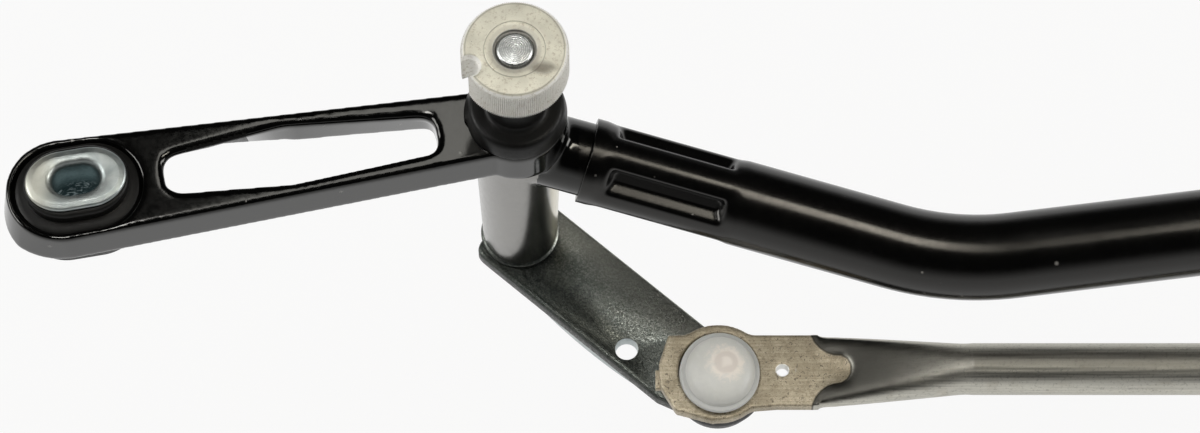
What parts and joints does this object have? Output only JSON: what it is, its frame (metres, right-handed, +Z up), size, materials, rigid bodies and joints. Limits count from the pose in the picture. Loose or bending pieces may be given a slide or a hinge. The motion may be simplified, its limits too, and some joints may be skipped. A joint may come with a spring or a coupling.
{
  "type": "wiper linkage",
  "caption": "Windscreen wiper linkage: knurled pivot heads on a black tubular frame with arm mounts, driven through levers and ball-jointed tie rods.",
  "frame": {"origin": "left wiper shaft's axis, at the underside of its knurled drive head", "axes": "+X from the left shaft towards the right shaft, +Z up both shafts towards the wiper arms, +Y across the frame, away from the cross rod"},
  "size_m": [0.7088, 0.1561, 0.1003],
  "materials": {
    "black_paint": "satin gloss black paint",
    "zinc_casting": "bare die-cast zinc, serrated side",
    "zinc_plate": "zinc-plated pressed steel",
    "bright_steel": "turned steel",
    "lever_steel": "zinc-plated steel, dull",
    "rod_steel": "drawn steel tube, pressed flat at the ends",
    "rubber_black": "black rubber",
    "nylon_white": "natural nylon, slightly translucent",
    "bronze": "sintered bronze"
  },
  "bodies": {
    "frame": {"left_pivot_housing": "black_paint", "right_pivot_housing": "black_paint", "frame_tube": "black_paint", "left_upper_bush": "bronze", "left_lower_bush": "bronze", "right_upper_bush": "bronze", "right_lower_bush": "bronze", "left_dust_seal": "rubber_black", "right_dust_seal": "rubber_black", "left_mount_grommet": "rubber_black", "right_mount_grommet": "rubber_black", "left_mount_sleeve": "zinc_plate", "right_mount_sleeve": "zinc_plate", "motor_bracket": "black_paint", "bracket_straps": "zinc_plate", "strap_rivets": "bright_steel", "bracket_mount_grommet": "rubber_black", "bracket_mount_sleeve": "zinc_plate"},
    "left_pivot": {"left_pivot_shaft": "bright_steel", "left_drive_head": "zinc_casting", "left_retaining_ring": "bright_steel", "left_thrust_washer": "bright_steel", "left_foot_washer": "zinc_plate", "left_lever": "lever_steel", "left_ball_stud": "bright_steel"},
    "right_pivot": {"right_pivot_shaft": "bright_steel", "right_drive_head": "zinc_casting", "right_retaining_ring": "bright_steel", "right_thrust_washer": "bright_steel", "right_foot_washer": "zinc_plate", "right_lever": "lever_steel", "right_ball_stud": "bright_steel", "drive_ball_stud": "bright_steel"},
    "cross_rod": {"cross_rod": "rod_steel", "cross_rod_left_socket": "nylon_white", "cross_rod_right_socket": "nylon_white", "cross_rod_left_boot": "rubber_black", "cross_rod_right_boot": "rubber_black"},
    "drive_rod": {"drive_rod": "rod_steel", "drive_rod_lever_socket": "nylon_white", "drive_rod_crank_socket": "nylon_white", "drive_rod_lever_boot": "rubber_black", "drive_rod_crank_boot": "rubber_black"}
  },
  "joints": [
    {"name": "left_pivot_turn", "type": "hinge", "parent": "frame", "child": "left_pivot", "pos_m": [0, 0, 0], "axis": [0, 0, 1], "range_deg": [-95, 0]},
    {"name": "cross_rod_swing", "type": "hinge", "parent": "left_pivot", "child": "cross_rod", "pos_m": [0.04222, -0.03709, -0.0754], "axis": [0, 0, 1], "range_deg": [0, 95]},
    {"name": "right_pivot_turn", "type": "hinge", "parent": "frame", "child": "right_pivot", "pos_m": [0.5, 0, 0], "axis": [0, 0, 1], "range_deg": [-95, 0]},
    {"name": "drive_rod_swing", "type": "hinge", "parent": "right_pivot", "child": "drive_rod", "pos_m": [0.46461, 0.03243, -0.0754], "axis": [0, 0, 1], "range_deg": [0, 95]}
  ],
  "couplings": [
    {"joint": "cross_rod_swing", "follows": "left_pivot_turn", "ratio": -1},
    {"joint": "right_pivot_turn", "follows": "left_pivot_turn", "ratio": 1},
    {"joint": "drive_rod_swing", "follows": "left_pivot_turn", "ratio": -1}
  ]
}
